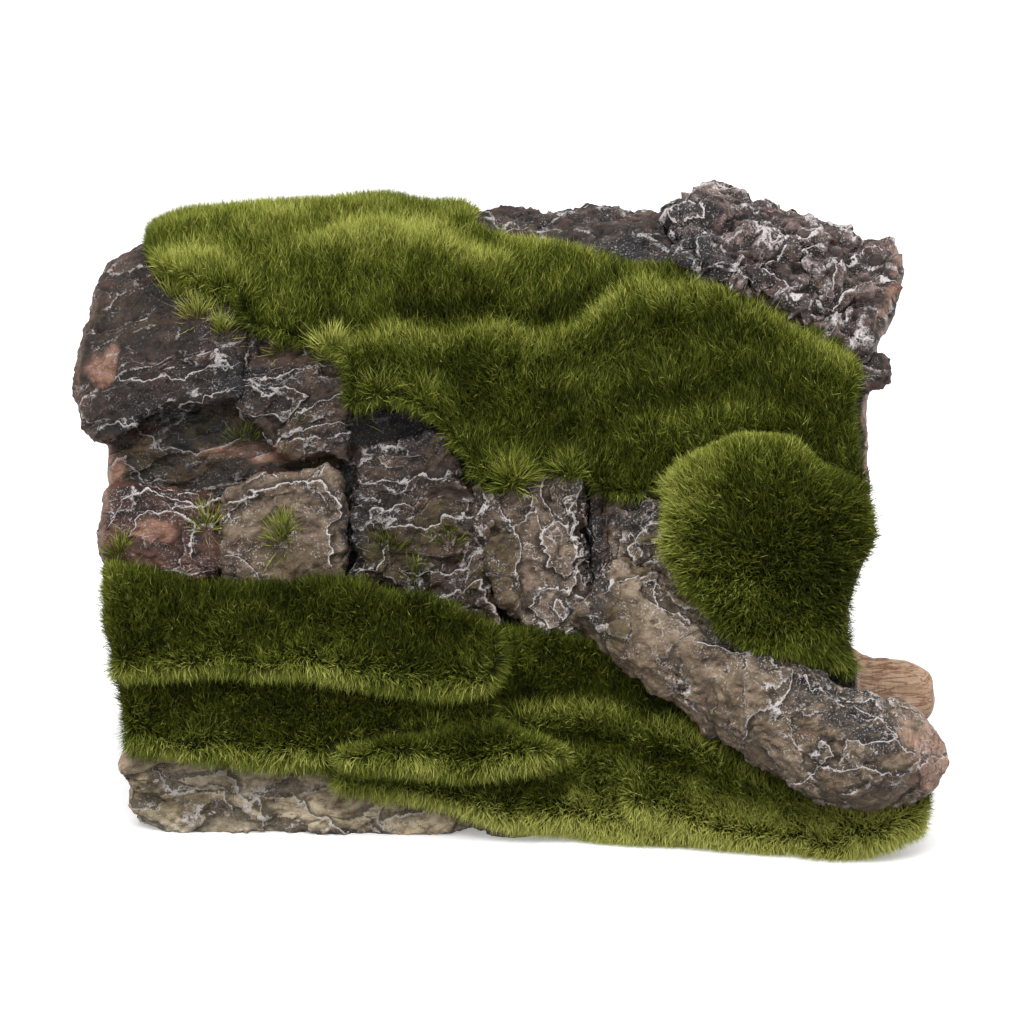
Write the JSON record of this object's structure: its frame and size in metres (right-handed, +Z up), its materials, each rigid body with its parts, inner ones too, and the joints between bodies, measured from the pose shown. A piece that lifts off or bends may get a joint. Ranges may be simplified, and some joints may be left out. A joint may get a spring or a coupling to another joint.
{
  "type": "resin cave ornament",
  "caption": "Hollow half-log hide for an aquarium or pond, open at both ends, with flaked bark, stones, a root foot and glued moss mats.",
  "frame": {"origin": "middle of the ornament's bounding box, on the floor it stands on", "axes": "+X runs along the hollow log to the end with the root foot, -Y is the decorated front, +Z is up"},
  "size_m": [0.1694, 0.1206, 0.1155],
  "materials": {
    "bark": "matte",
    "bark_dark": "matte",
    "stone_red": "matte",
    "cut_wood": "matte",
    "moss": "matte"
  },
  "bodies": {
    "root": {"log_shell": "bark_dark", "crown_bed": "bark_dark", "left_log_stub": "bark", "ridge_bark_left": "bark_dark", "ridge_knoll": "bark_dark", "ridge_bark_right": "bark", "side_knot": "bark_dark", "bark_plate_left": "bark", "boulder_left": "stone_red", "boulder_middle": "bark", "center_slab": "bark", "pillar_bark": "bark", "right_slab": "bark", "crevice_stem": "bark", "front_root": "bark", "rear_root": "cut_wood", "cushion_core": "bark_dark", "ledge_upper": "bark_dark", "ledge_middle": "bark_dark", "ledge_lower": "bark_dark", "skirt_bed": "bark_dark", "base_bark": "bark", "rear_plate_left": "bark", "rear_plate_right": "bark", "rear_plate_low": "bark_dark", "moss_crown": "moss", "moss_cushion": "moss", "moss_ledge_upper": "moss", "moss_ledge_middle": "moss", "moss_ledge_lower": "moss", "moss_skirt": "moss", "moss_rear": "moss", "moss_tufts": "moss"}
  },
  "joints": []
}
